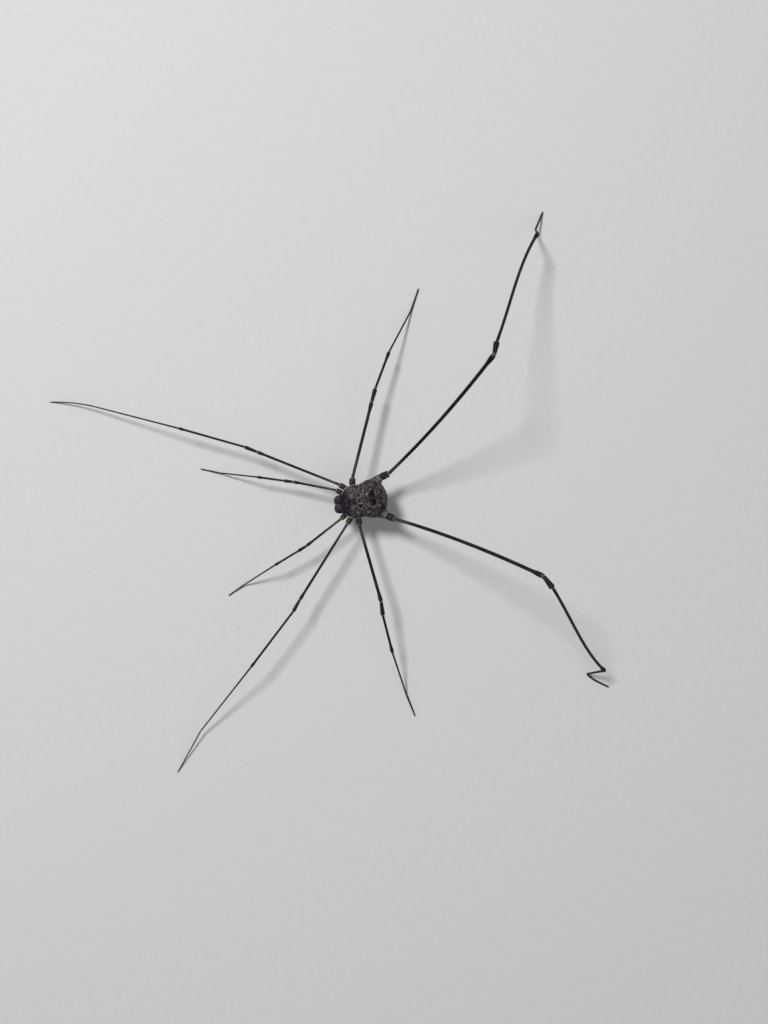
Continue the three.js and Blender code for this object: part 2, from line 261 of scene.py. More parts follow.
def along_body(table, u):
    """Smooth value at u of a table of [u, value], its rows from front to rear."""
    rows = np.array(table)
    last = len(rows) - 1
    i = np.clip((u[..., None] < rows[1:, 0]).sum(-1), 0, last - 1)
    share = np.clip((rows[i, 0] - u) / (rows[i, 0] - rows[i + 1, 0]), 0, 1)
    before, here, there, after = (rows[np.clip(i + j, 0, last), 1] for j in (-1, 0, 1, 2))
    slope_in, slope_out, rise = (there - before) / 2, (after - here) / 2, there - here
    cubic = slope_in + slope_out - 2 * rise
    square = 3 * rise - 2 * slope_in - slope_out
    return here + share * (slope_in + share * (square + share * cubic))


SECTION_SAMPLES = 4001
TRUNK_STATIONS = 300
TRUNK_SIDES = 288
CAP_STATIONS = 12
FRONT_BULGE = 0.16
REAR_BULGE = 0.05


def section():
    """Evenly spaced points round the trunk's section."""
    across, upward = superellipse(np.linspace(0, 2 * math.pi, SECTION_SAMPLES), SQUARENESS)
    walked = np.concatenate([[0], np.cumsum(np.hypot(np.diff(across), np.diff(upward)))])
    wanted = np.linspace(0, walked[-1], TRUNK_SIDES, endpoint=False)
    return np.interp(wanted, walked, across), np.interp(wanted, walked, upward)


def trunk_grid():
    """Rings of the bare trunk from rear to front, and how far up each place of a ring is."""
    share = (1 - np.cos(np.linspace(0, math.pi, TRUNK_STATIONS))) / 2
    u = BODY_REAR + share * (BODY_FRONT - BODY_REAR)
    turn = np.linspace(math.pi / 2, 0, CAP_STATIONS, endpoint=False)[1:]
    shrink = np.concatenate([np.cos(turn), np.ones(len(u)), np.cos(turn[::-1])])
    u = np.concatenate([BODY_REAR - REAR_BULGE * np.sin(turn), u,
                        BODY_FRONT + FRONT_BULGE * np.sin(turn[::-1])])
    across, upward = section()
    width = along_body(HALF_WIDTH, u) * shrink
    rise = (along_body(BACK_HEIGHT, u) - MIDDLE_HEIGHT) * shrink
    fall = (MIDDLE_HEIGHT - along_body(BELLY_HEIGHT, u)) * shrink
    v = across[None, :] * width[:, None]
    reach = np.where(upward > 0, rise[:, None], fall[:, None])
    z = MIDDLE_HEIGHT + upward[None, :] * reach
    return np.stack([np.broadcast_to(u[:, None], v.shape), v, z], -1), upward


def raised_mound(grid, upward):
    """Lifts the back over the low mound that carries the eyes."""
    (mu, mv, mz), (ru, rv, rz) = MOUND["centre"], MOUND["radii"]
    inside = 1 - ((grid[..., 0] - mu) / ru) ** 2 - ((grid[..., 1] - mv) / rv) ** 2
    mound = mz + rz * np.sqrt(np.maximum(inside, 0))
    z, soft = grid[..., 2], MOUND["softness"]
    lifted = z + soft * np.logaddexp(0, (mound - z) / soft)
    blend = smooth_step(0.0, MOUND["edge"], inside) * (upward > 0.2)[None, :]
    grid[..., 2] = z + (lifted - z) * blend
    return grid


def normals_of(grid):
    along = np.gradient(grid, axis=0)
    around = np.roll(grid, -1, axis=1) - np.roll(grid, 1, axis=1)
    return unit(np.cross(around, along))


# Cross grooves of the back, from front to rear: place at the midline, how far the sides sweep
# forward, depth and width
GROOVES = [
    (0.92, 0.10, 0.085, 0.07), (-0.42, 0.12, 0.05, 0.06), (-1.3, 0.16, 0.055, 0.06),
    (-2.08, 0.26, 0.055, 0.06), (-2.62, 0.34, 0.05, 0.05), (-3.05, 0.42, 0.12, 0.06),
    (-3.32, 0.45, 0.09, 0.05), (-3.57, 0.45, 0.08, 0.045),
]
TERGITES = -2.9  # behind it, the cross grooves run on over the margin
MARGIN_SHARE = 0.87  # of the half width, where the groove along the margin runs

# Depth and width of the grooves that run lengthwise
MARGIN_GROOVE = (0.06, 0.07)
MIDLINE_GROOVE = (0.02, 0.05)
FLANK_GROOVE = (0.07, 0.05)
LEAST_WIDTH = 0.2  # half width at the ends of the trunk, for shares of it


def half_width_at(u):
    return np.maximum(along_body(HALF_WIDTH, np.clip(u, BODY_REAR, BODY_FRONT)), LEAST_WIDTH)


def groove_depth(grid, upward):
    u, v = grid[..., 0], grid[..., 1]
    width = half_width_at(u)
    aside = np.abs(v) / width
    depth = np.zeros(u.shape)
    inside_margin = smooth_step(MARGIN_SHARE + 0.04, MARGIN_SHARE - 0.08, aside)
    for place, sweep, deep, wide in GROOVES:
        reach = 1 if place < TERGITES else inside_margin
        depth += bell(u - (place + sweep * aside ** 2), deep * reach, wide)
    deep, wide = MARGIN_GROOVE
    reach = smooth_step(0.95, 0.7, u) * smooth_step(-2.75, -2.45, u)
    depth += bell((aside - MARGIN_SHARE) * width, deep * reach, wide)
    deep, wide = MIDLINE_GROOVE
    reach = smooth_step(0.9, 0.7, u) * smooth_step(-0.55, -0.3, u)
    depth += bell(v, deep * reach, wide)
    depth *= smooth_step(0.05, 0.3, upward)[None, :]
    deep, wide = FLANK_GROOVE
    reach = smooth_step(2.6, 2.2, u) * smooth_step(-3.1, -2.8, u)
    return depth + bell(grid[..., 2] - MIDDLE_HEIGHT, deep * reach, wide)


# Granules

GRANULE_SIZES = (0.36, 0.56)  # radii, as shares of the spacing
GRANULE_POWER = 1.2
AROUND = [(a, b, c) for a in (-1, 0, 1) for b in (-1, 0, 1) for c in (-1, 0, 1)]


def apart(p, q, gap):
    return (p[0] - q[0]) ** 2 + (p[1] - q[1]) ** 2 + (p[2] - q[2]) ** 2 > gap * gap


def scattered(points, spacing, tries):
    """Points picked at random that keep a spacing, which may differ from place to place."""
    cell = spacing.max()
    taken = {}
    kept = []
    for _ in range(tries):
        i = rng.randrange(len(points))
        p, gap = points[i], spacing[i]
        home = tuple((p // cell).astype(int))
        near = (
            q for a, b, c in AROUND for q in taken.get((home[0] + a, home[1] + b, home[2] + c), ())
        )
        if all(apart(p, q, gap) for q in near):
            taken.setdefault(home, []).append(p)
            kept.append(i)
    return kept


def granule_shares(points, spacing, tries):
    """How high each point is on a low granule: 0 between them, 1 at the middle of one."""
    centres = scattered(points, spacing, tries)
    tree = kdtree.KDTree(len(centres))
    sizes = []
    for order, i in enumerate(centres):
        tree.insert(points[i], order)
        sizes.append(spacing[i] * rng.uniform(*GRANULE_SIZES))
    tree.balance()
    share = np.zeros(len(points))
    for i, p in enumerate(points):
        _, order, distance = tree.find(p)
        share[i] = max(0.0, 1 - (distance / sizes[order]) ** 2)
    return share


def granulated(points, spokes, spacing, tries, height, cover=1.0):
    """Lifts granules out of a tube's rings, and gives how high each point is on one."""
    rings = points[:-2]
    share = granule_shares(rings, np.full(len(rings), spacing), tries)
    rings += spokes.reshape(-1, 3) * (height * share ** GRANULE_POWER * cover)[:, None]
    return share


# Spots of the back: place, half lengths along u and v, strength
INK_SPOTS = [
    (-1.69, -0.6, 0.4, 0.56, 1.0), (-1.74, 0.6, 0.4, 0.56, 1.0),
    (0.2, -0.78, 0.23, 0.25, 0.95), (0.12, 0.75, 0.25, 0.3, 0.95),
    (1.26, -1.26, 0.12, 0.14, 0.8), (1.03, -0.86, 0.13, 0.13, 0.85),
    (0.95, 0.95, 0.13, 0.15, 0.85), (1.81, 0.79, 0.16, 0.14, 0.7),
    (-3.1, -0.7, 0.12, 0.34, 0.9), (-2.95, 1.5, 0.3, 0.3, 0.8), (-0.6, -0.15, 0.2, 0.3, 0.3),
    (-0.95, 0.2, 0.12, 0.2, 0.4), (-2.4, -1.9, 0.3, 0.2, 0.35), (-1.0, -1.6, 0.2, 0.16, 0.4),
    (-0.9, 1.5, 0.2, 0.16, 0.4), (0.9, 0.12, 0.42, 0.2, 0.75),
    (-1.52, 0.06, 0.16, 0.24, 0.85),
]
RIMMED_SPOTS = INK_SPOTS[2:8]  # the small ones that lie in pairs
RUST_SPOTS = [
    (-2.78, -1.15, 0.24, 0.26, 1.0), (-2.9, -0.45, 0.2, 0.26, 0.9), (-2.9, 0.25, 0.2, 0.3, 0.9),
    (-2.72, 0.95, 0.2, 0.26, 0.9), (-2.45, 1.6, 0.24, 0.24, 0.8), (-2.35, -1.6, 0.22, 0.24, 0.8),
    (-2.4, -0.1, 0.18, 0.3, 0.5),
]
WANDER_STEPS = (7.31, 3.17, 5.77)
WANDER = 0.15  # how far the edges of the spots wander
SPOT_EDGE = 0.35  # half the width of a spot's soft edge, as a share of its size
RIM_OUT, RIM_SHARE, RIM_WIDTH = 0.1, 1.08, 0.13  # place and width of a spot's rim


def filled(away):
    return smooth_step(1 + SPOT_EDGE, 1 - SPOT_EDGE, away)


def rimmed(away):
    return bell(away - RIM_SHARE, 1, RIM_WIDTH)


def spots(u, v, table, grown=0.0, profile=filled):
    """How strongly a table's spots, or the rims of grown ones, cover each place."""
    cover = np.zeros(u.shape)
    for place_u, place_v, half_u, half_v, strength in table:
        away = np.hypot((u - place_u) / (half_u + grown), (v - place_v) / (half_v + grown))
        cover = np.maximum(cover, strength * profile(away))
    return cover


def wandering(points, scale, seed):
    """Smooth random values from -1 to 1 over a set of points."""
    shift = Vector([seed * step for step in WANDER_STEPS])
    return np.array([noise.noise(Vector(p) * scale + shift) for p in points])


def back_marks(points, u, v, top):
    """The colours of the back: ink and rust spots, pale rims, rear band and dark front."""
    wander_u = wandering(points, 2.6, 1) + 0.6 * wandering(points, 6.0, 3)
    wander_v = wandering(points, 2.6, 2) + 0.6 * wandering(points, 6.0, 4)
    wu, wv = u + WANDER * wander_u, v + WANDER * wander_v
    ink = spots(wu, wv, INK_SPOTS) * top
    aside = np.abs(v) / half_width_at(u)
    behind = smooth_step(0.0, 0.12, -3.02 + 0.42 * aside ** 2 - u)
    return {
        "ink": ink,
        "rust": spots(wu, wv, RUST_SPOTS) * top,
        "rim": spots(wu, wv, RIMMED_SPOTS, RIM_OUT, rimmed) * top * (1 - ink),
        "band": behind * smooth_step(1.9, 1.2, v) * top,
        "front": smooth_step(1.5, 2.0, wu + bell(wv, 0.55, 0.35)),
        "top": top,
    }


GRANULE_TRIES = 26000
HEAD = (1.5, 2.1)  # where the head starts and is full
EYE_RIM = (0.035, 0.04)  # height and width of the low ring round an eye
RIM_GAP = 0.05
DEEP_GROOVE = 0.1  # depth at which a groove's painted shade is full


def trunk_surface():
    """Shield, free tergites and mound as one skin, with its belly."""
    grid, upward = trunk_grid()
    grid = raised_mound(grid, upward)
    bare = grid.reshape(-1, 3)
    u, v = bare[:, 0], bare[:, 1]
    top = np.broadcast_to(smooth_step(-0.05, 0.15, upward), grid.shape[:2]).ravel()
    head = smooth_step(*HEAD, u)
    cap = granule_shares(bare, 0.17 + 0.05 * head + 0.05 * (1 - top), GRANULE_TRIES)
    tall = 0.034 * top * (1 - 0.55 * head) + 0.02 * (1 - top)
    depth = groove_depth(grid, upward).ravel()
    lift = cap ** GRANULE_POWER * tall - depth
    for side in SIDE_NAMES:
        away = np.linalg.norm(bare - mirrored(EYE_CENTRE, side), axis=1) - EYE_RADIUS - RIM_GAP
        lift += bell(away, *EYE_RIM)
    skin = bare + normals_of(grid).reshape(-1, 3) * lift[:, None]
    marks = back_marks(skin, u, v, top) | {"cap": cap, "gap": np.clip(depth / DEEP_GROOVE, 0, 1)}
    marks = {name: with_ends(values) for name, values in marks.items()}
    points = np.concatenate([skin, grid[:1].mean(1), grid[-1:].mean(1)])
    return part(turned(points), grid_faces(len(grid), TRUNK_SIDES), body=points, **marks)


# Limbs

def side_of(direction):
    """The level direction to the left of another one."""
    level = np.stack([-direction[..., 1], direction[..., 0], np.zeros(direction.shape[:-1])], -1)
    return unit(level)


def tube(centres, radii, sides, side=None, flatness=1.0):
    """Rings of points along a line of centres, with the ends closed."""
    ahead = unit(np.gradient(centres, axis=0))
    across = side_of(ahead) if side is None else np.broadcast_to(side, ahead.shape)
    across = unit(across - ahead * (ahead * across).sum(-1, keepdims=True))
    up = np.cross(ahead, across)
    angles = full_turn(sides)
    spokes = (across[:, None] * np.cos(angles)[None, :, None]
              + up[:, None] * np.sin(angles)[None, :, None] * flatness)
    rings = centres[:, None] + spokes * radii[:, None, None]
    points = np.concatenate([rings.reshape(-1, 3), centres[:1], centres[-1:]])
    return points, grid_faces(len(centres), sides), unit(spokes)


def direction_of(heading, pitch):
    h, p = math.radians(heading), math.radians(pitch)
    return np.array([math.cos(p) * math.cos(h), math.cos(p) * math.sin(h), math.sin(p)])


def leg_joints(side, number):
    """Each leg's joints, from the root of its coxa to the tip of its tarsus."""
    pair = LEG_PAIRS[number]
    headings, pitches, ankle, _ = STANCE[side, number]
    joints = [turned(mirrored(pair[key], side)) for key in ("coxa_root", "coxa_end")]
    end_heights = {"metatarsus": ankle, "tarsus": 0}
    for i, (name, length) in enumerate(zip(SEGMENTS, pair["lengths"])):
        if name in end_heights:
            pitch = math.degrees(math.asin((end_heights[name] - joints[-1][2]) / length))
        else:
            pitch = pitches[i]
        joints.append(joints[-1] + direction_of(headings[i], pitch) * length)
    return joints


def bowed(start, end, bows, share):
    """Points on a line from start to end that bows to its left, before and past its middle."""
    chord = end - start
    swing = side_of(chord) * np.linalg.norm(chord)
    share = share[:, None]
    early = 3 * share * (1 - share) ** 2 * bows[0]
    late = 3 * share ** 2 * (1 - share) * bows[1]
    return start + chord * share + swing * (early + late)


RING_STEP = 0.055
LEG_SIDES = 20
SMOOTHING = 3  # rings over which the line of a leg is rounded
NECK, NECK_DEPTH = 0.05, 0.14  # half length of the soft skin at a joint, and how far it pulls in

# Each kind of segment: radius along it as shares of its length, with the share of the way from
# its radius near the base to the one near the end
SEGMENT_SHAPES = {
    "femur": [
        (0, 0.95, 0), (0.012, 1.15, 0), (0.05, 1.0, 0), (0.8, 1.02, 0.06), (0.985, 1, 0.06),
        (1, 0.86, 0),
    ],
    "patella": [
        (0, 0.86, 0), (0.08, 1.0, 0.05), (0.3, 1, 0.2), (0.7, 1, 0.8), (0.92, 1, 1), (1, 0.8, 0.8),
    ],
    "tibia": [
        (0, 0.9, 0), (0.02, 1.1, 0), (0.1, 1, 0), (0.7, 1, 0.1), (0.985, 1, 0.15), (1, 0.84, 0),
    ],
    "metatarsus": [
        (0, 1.1, 0), (0.05, 1.05, 0), (0.3, 1, 0.4), (0.8, 1, 0.95), (0.97, 1, 1.15), (1, 0.9, 1),
    ],
    "tarsus": [(0, 0.85, 0), (0.04, 1, 0), (0.6, 1, 0.5), (0.97, 1, 0.8), (1, 0.6, 0.8)],
}
SWOLLEN_ENDS = ("femur", "tibia")
SWELLING = (5.5, 1.6)  # where it starts and is full before the end, in radii of that end
TARSOMERE_GROOVE, TARSOMERE_DEPTH = 0.04, 0.16

# Pale rings of each kind of segment: at which end of it, how strong, and how far from that end
# the ring stops and is full
PALE_RINGS = {
    "trochanter": [],
    "femur": [("end", 0.45, 0.3, 0.08), ("base", 0.5, 0.12, 0.04)],
    "patella": [("base", 0.45, 0.2, 0.05), ("end", 0.25, 0.1, 0.03)],
    "tibia": [("base", 0.55, 0.12, 0.04), ("end", 0.3, 0.1, 0.03)],
    "metatarsus": [("base", 0.4, 0.1, 0.03)],
    "tarsus": [("base", 0.4, 0.1, 0.03)],
}
OLIVE, OLIVE_STOPS, OLIVE_FULL = 0.85, 5.5, 0.3  # the olive base of a femur
INNER_SHARE = 0.5  # of the trochanter's radius, for the leg's skin within it


def segment_profile(name, radii, pair, share, length):
    """Radius along one leg segment, from its base to its end."""
    if name == "trochanter":
        return np.full(share.shape, pair["knob"] * INNER_SHARE)
    base, end = radii
    shares, factors, towards = zip(*SEGMENT_SHAPES[name])
    factor = np.interp(share, shares, factors)
    weight = np.interp(share, shares, towards)
    to_end = (1 - share) * length
    if name in SWOLLEN_ENDS:
        weight = np.maximum(weight, smooth_step(SWELLING[0] * end, SWELLING[1] * end, to_end))
    radius = (base + (end - base) * weight) * factor
    if name == "tarsus":
        beat = share * pair["tarsomeres"]
        away = np.abs(beat - np.round(beat)) * length / pair["tarsomeres"]
        radius = radius * (1 - bell(away, TARSOMERE_DEPTH, TARSOMERE_GROOVE))
    return radius


def smoothed(centres):
    """A line rounded over a few of its points, with its ends kept."""
    reach = 2 * SMOOTHING
    weights = np.exp(-0.5 * (np.arange(-reach, reach + 1) / SMOOTHING) ** 2)
    weights /= weights.sum()
    padded = np.concatenate([
        centres[0] + (centres[0] - centres[1:reach + 1])[::-1], centres,
        centres[-1] + (centres[-1] - centres[-reach - 1:-1])[::-1],
    ])
    return np.stack([np.convolve(padded[:, axis], weights, "valid") for axis in range(3)], -1)


def segment_rings(name, count, to_base, to_end):
    """How pale and how olive the rings of a segment are."""
    away = {"base": to_base, "end": to_end}
    pale = np.zeros(count)
    for edge, strength, stops, full in PALE_RINGS[name]:
        pale = pale + strength * smooth_step(stops, full, away[edge])
    olive = np.full(count, 1.0 if name == "trochanter" else 0.0)
    if name == "femur":
        olive = OLIVE * smooth_step(OLIVE_STOPS, OLIVE_FULL, to_base)
    return np.clip(pale, 0, 1), olive


def leg_line(side, number):
    """The rings of a leg from trochanter to tip: centres and radii, how pale and how olive they
    are, how far along the leg, and the number of their segment."""
    pair = LEG_PAIRS[number]
    joints = leg_joints(side, number)[1:]
    bows = STANCE[side, number][-1]
    rows = []
    walked = 0.0
    for i, name in enumerate(SEGMENTS):
        length = pair["lengths"][i]
        count = round(length / RING_STEP)
        share = np.linspace(0, 1, count, endpoint=name == "tarsus")
        centres = bowed(joints[i], joints[i + 1], bows.get(name, (0, 0)), share)
        own = pair["radii"][i - 1] if i else None
        radii = segment_profile(name, own, pair, share, length)
        pale, olive = segment_rings(name, count, share * length, (1 - share) * length)
        rows.append((centres, radii, pale, olive, walked + share * length, np.full(count, i)))
        walked += length
    centres, radii, pale, olive, along, kinds = map(np.concatenate, zip(*rows))
    for start in np.cumsum([0, *pair["lengths"]])[1:-1]:
        radii = radii * (1 - bell(along - start, NECK_DEPTH, NECK))
    centres = smoothed(centres)
    centres[:, 2] = np.maximum(centres[:, 2], radii)
    return centres, radii, pale, olive, along, kinds


TIP_SHARE = 0.12  # of a spike's radius, at its point


def cone(root, direction, length, radius, bend, sides=3, steps=2):
    """A closed spike that tapers to a point and bends towards a vector."""
    share = np.linspace(0, 1, steps + 1)[:, None]
    centres = root + direction * length * share + bend * length * share ** 2
    widths = radius * np.linspace(1, TIP_SHARE, steps + 1)
    helper = np.array([0, 0, 1.0]) if abs(direction[2]) < 0.8 else np.array([1.0, 0, 0])
    points, faces, _ = tube(centres, widths, sides, side=np.cross(direction, helper))
    return points, faces


KNOB_RINGS = 60
KNOB_SIDES = 72
KNOB_GROOVE = 0.79  # place along the knob, with its rim beyond
KNOB_SHAPE = [
    (0, 0.6), (0.06, 0.74), (0.16, 0.93), (0.4, 1.0), (0.66, 0.97), (0.74, 0.93),
    (KNOB_GROOVE, 0.86), (0.83, 0.95), (0.92, 0.97), (0.97, 0.86), (1, 0.6),
]
KNOB_GRANULES = (0.15, 1500, 0.024)  # spacing, tries and height
KNOB_RIM = 0.5  # how pale it is
PLUM = {1: 0.15, 2: 0.15, 3: 1.0, 4: 1.0}  # how plum coloured a pair's knobs are


def knob_surface(side, number):
    """The trochanter: a short granular barrel with a pale rim."""
    start, end = leg_joints(side, number)[1:3]
    share = np.linspace(0, 1, KNOB_RINGS)
    radii = LEG_PAIRS[number]["knob"] * np.interp(share, *zip(*KNOB_SHAPE))
    points, faces, spokes = tube(start + (end - start) * share[:, None], radii, KNOB_SIDES)
    cover = np.repeat(smooth_step(0.05, 0.15, share), KNOB_SIDES)
    cap = granulated(points, spokes, *KNOB_GRANULES, cover)
    ones = np.ones(len(points))
    return part(
        points, faces, pale=over_rings(KNOB_RIM * smooth_step(0.8, 0.84, share), KNOB_SIDES),
        plum=PLUM[number] * ones, knob=ones, cap=with_ends(cap), grain=points - start,
        gap=over_rings(bell(share - KNOB_GROOVE, 1, 0.025), KNOB_SIDES),
    )


SETAE_PER_MM = {"femur": 1.6, "patella": 1.6, "tibia": 4.0, "metatarsus": 6.0, "tarsus": 11.0}
SETA_LENGTHS = (0.14, 0.26)
SETA_RADIUS = 0.009
FLOOR_GAP = 0.01  # least height of a seta's tip
CLAW_TURNS = {1: (0,), 2: (0,), 3: (-1, 1), 4: (-1, 1)}  # which way a pair's claws spread
CLAW = {"length": 0.3, "radius": 0.035, "bend": np.array([0, 0, -0.32]), "sides": 6, "steps": 5}
CLAW_HEIGHT = 0.004  # least, so that it stays on the floor
GRAIN_ALONG, GRAIN_AROUND = 0.4, 0.3
FOOT = (3.2, 4.2)  # where the foot's colour starts and is full, as numbers of segments


def setae(number, centres, radii, spokes, kinds):
    """The small hairs of a leg, which lean towards its tip."""
    parts = []
    ahead = unit(np.gradient(centres, axis=0))
    for name, rate in SETAE_PER_MM.items():
        kind = SEGMENTS.index(name)
        rows = np.flatnonzero(kinds == kind)
        for _ in range(round(rate * LEG_PAIRS[number]["lengths"][kind])):
            i = int(rng.choice(rows[2:-2]))
            out = spokes[i, rng.randrange(LEG_SIDES)]
            lean = unit(out * 0.75 + ahead[i] * 0.65)
            root = centres[i] + out * radii[i] * 0.9
            length = rng.uniform(*SETA_LENGTHS)
            if root[2] + lean[2] * length >= FLOOR_GAP:
                hair, faces = cone(root, lean, length, SETA_RADIUS, ahead[i] * 0.15)
                parts.append(part(hair, faces, hair=np.ones(len(hair))))
    return parts


def leg_claws(number, tip, forward):
    parts = []
    for turn in CLAW_TURNS[number]:
        aim = unit(forward + side_of(forward) * 0.35 * turn + np.array([0, 0, 0.25]))
        claw, faces = cone(tip - forward * 0.05, aim, **CLAW)
        claw[:, 2] = np.maximum(claw[:, 2], CLAW_HEIGHT)
        parts.append(part(claw, faces, hair=np.ones(len(claw))))
    return parts


def leg_surface(side, number):
    """A leg from trochanter to claws, as one skin."""
    centres, radii, pale, olive, along, kinds = leg_line(side, number)
    points, faces, spokes = tube(centres, radii, LEG_SIDES)
    around = spokes.reshape(-1, 3).T[[0, 2]] * GRAIN_AROUND
    grain = np.stack([np.repeat(along * GRAIN_ALONG, LEG_SIDES), *around], -1)
    ends = [[along[end] * GRAIN_ALONG, 0, 0] for end in (0, -1)]
    skin = part(
        points, faces, pale=over_rings(pale, LEG_SIDES), olive=over_rings(olive, LEG_SIDES),
        grain=np.concatenate([grain, ends]),
        foot=over_rings(smooth_step(*FOOT, kinds), LEG_SIDES),
    )
    forward = unit(np.gradient(centres, axis=0))[-1]
    knob = knob_surface(side, number)
    hairs = setae(number, centres, radii, spokes, kinds)
    return joined([skin, knob, *hairs, *leg_claws(number, centres[-1], forward)])


COLLAR = 0.22  # how far the rim of a coxa reaches over the trochanter
COXA_RINGS = 110
COXA_SIDES = 48
COXA_GRANULES = (0.17, 3000, 0.022)
HIGH = (4.4, 4.9)  # heights where the pale network of the coxae starts and is full


def coxa_surface(side, number):
    """The first joint of a leg, with a pale collar at its end."""
    pair = LEG_PAIRS[number]
    start, end = (mirrored(pair[key], side) for key in ("coxa_root", "coxa_end"))
    length = np.linalg.norm(end - start)
    root, tip = pair["coxa_radii"]
    past = np.linspace(-length, COLLAR, COXA_RINGS)
    places = [-length, -0.75 * length, -0.3 * length, -0.34, -0.16, -0.08, 0.12, 0.18, COLLAR]
    sizes = [0.7 * root, root, 0.6 * (root + tip)]
    sizes += [share * tip for share in (1.2, 1.0, 1.1, 1.0, 0.9, 0.6)]
    centres = end + (end - start) / length * past[:, None]
    points, faces, spokes = tube(centres, np.interp(past, places, sizes), COXA_SIDES)
    cap = with_ends(granulated(points, spokes, *COXA_GRANULES))
    high = with_ends(smooth_step(*HIGH, points[:-2, 2]))
    pale = np.maximum(smooth_step(-0.13, -0.05, past), 0.2 * smooth_step(-0.45, -0.2, past))
    gap = bell(past + 0.15, 1, 0.03)
    return part(
        turned(points), faces, body=points, pale=over_rings(pale, COXA_SIDES), cap=cap * high,
        high=high, gap=over_rings(gap, COXA_SIDES),
    )


# Plates of the belly, behind the coxae and between them: place along u, half width, half length
STERNITES = [
    (-1.6, 1.5, 0.34), (-2.15, 1.75, 0.24), (-2.6, 1.75, 0.2), (-3.0, 1.5, 0.18),
    (-3.35, 1.1, 0.14),
]
OPERCULUM = (-0.35, 0.42, 0.45)
PLATE_SIDES = 48
PLATE_SQUARENESS = 3.2
PLATE_PROUD, PLATE_DOME = 0.02, 0.05
# Rings of a plate: share of its size, and how far the ring is sunk into the belly
PLATE_RINGS = [*((share, 0.0) for share in np.linspace(0.08, 0.94, 8)),
               (1.0, 0.03), (0.98, 0.14), (0.05, 0.14)]


def belly_plate(place, half_width, half_length):
    """A thin, slightly domed plate that follows the belly."""
    across, ahead = superellipse(full_turn(PLATE_SIDES), PLATE_SQUARENESS)
    grid = []
    for share, sink in PLATE_RINGS:
        u = place + ahead * half_length * share
        v = across * half_width * share
        width = along_body(HALF_WIDTH, u)
        fall = MIDDLE_HEIGHT - along_body(BELLY_HEIGHT, u)
        down = np.clip(1 - np.abs(v / width) ** SQUARENESS, 0, 1) ** (1 / SQUARENESS)
        dome = PLATE_DOME * (1 - share ** 4)
        grid.append(np.stack([u, v, MIDDLE_HEIGHT - fall * down - PLATE_PROUD - dome + sink], -1))
    grid = np.array(grid)
    points = np.concatenate([grid.reshape(-1, 3), grid[:1].mean(1), grid[-1:].mean(1)])
    return part(turned(points), grid_faces(len(grid), PLATE_SIDES), body=points)


# Eyes and mouthparts

EYE_RINGS, EYE_SIDES = 24, 32


def eye_surface(side):
    """A ball, its rings from the lowest to the highest."""
    latitude = np.linspace(0, math.pi, EYE_RINGS + 2)[1:-1]
    longitude = full_turn(EYE_SIDES)
    outward = np.stack([
        np.outer(np.sin(latitude), np.cos(longitude)),
        np.outer(np.sin(latitude), np.sin(longitude)),
        np.outer(-np.cos(latitude), np.ones(EYE_SIDES)),
    ], -1)
    centre = mirrored(EYE_CENTRE, side)
    ball = centre + outward.reshape(-1, 3) * EYE_RADIUS
    poles = centre + np.array([[0, 0, -EYE_RADIUS], [0, 0, EYE_RADIUS]])
    return part(turned(np.concatenate([ball, poles])), grid_faces(EYE_RINGS, EYE_SIDES))


def smooth_path(points, count):
    """A smooth line through a few points."""
    points = np.asarray(points, float)
    padded = np.concatenate([[2 * points[0] - points[1]], points, [2 * points[-1] - points[-2]]])
    places = np.linspace(0, len(points) - 1, count)
    i = np.minimum(places.astype(int), len(points) - 2)
    t = (places - i)[:, None]
    a, b, c, d = (padded[i + j] for j in range(4))
    return 0.5 * (2 * b + (c - a) * t + (2 * a - 5 * b + 4 * c - d) * t ** 2
                  + (3 * b - a - 3 * c + d) * t ** 3)


# Mouthparts of the left side: the line of their middle, radii and joints as shares of the way
# along it, thickness as a share of the width, and places of pairs of spines
PEDIPALP = {
    "path": [
        (2.5, 0.67, 4.86), (3.0, 0.67, 5.13), (3.4, 0.62, 5.04), (3.66, 0.54, 4.66),
        (3.67, 0.48, 4.2), (3.46, 0.42, 3.78),
    ],
    "radii": [
        (0, 0.58), (0.1, 0.67), (0.22, 0.66), (0.34, 0.63), (0.41, 0.605), (0.48, 0.57),
        (0.54, 0.54), (0.63, 0.51), (0.72, 0.46), (0.8, 0.4), (0.88, 0.3), (0.95, 0.19), (1, 0.06),
    ],
    "flatness": 0.44, "joints": (0.43, 0.59, 0.81), "spines": (0.64, 0.7, 0.76, 0.85, 0.91),
}
CHELICERA = {
    "path": [
        (2.6, 0.34, 4.55), (2.95, 0.33, 4.56), (3.2, 0.32, 4.3), (3.24, 0.32, 3.9),
        (3.16, 0.3, 3.52),
    ],
    "radii": [
        (0, 0.26), (0.2, 0.3), (0.4, 0.3), (0.5, 0.28), (0.6, 0.3), (0.78, 0.24), (0.9, 0.12),
        (1, 0.04),
    ],
    "flatness": 0.85, "joints": (0.45,), "spines": (),
}
MOUTHPARTS = {"pedipalp": PEDIPALP, "chelicera": CHELICERA}
REACH = {LEFT: 0.12, RIGHT: 0.0}  # the left mouthparts are held a little further out
MOUTH_RINGS, MOUTH_SIDES = 150, 64
MOUTH_GRANULES = (0.13, 3500, 0.018)
WAIST, WAIST_DEPTH = 0.05, 0.13
SPINE = {"length": 0.26, "radius": 0.04, "sides": 6, "steps": 5}
MOUTH_CLAW = {
    "length": 0.34, "radius": 0.07, "bend": np.array([-0.4, 0, 0.1]), "sides": 10, "steps": 8,
}


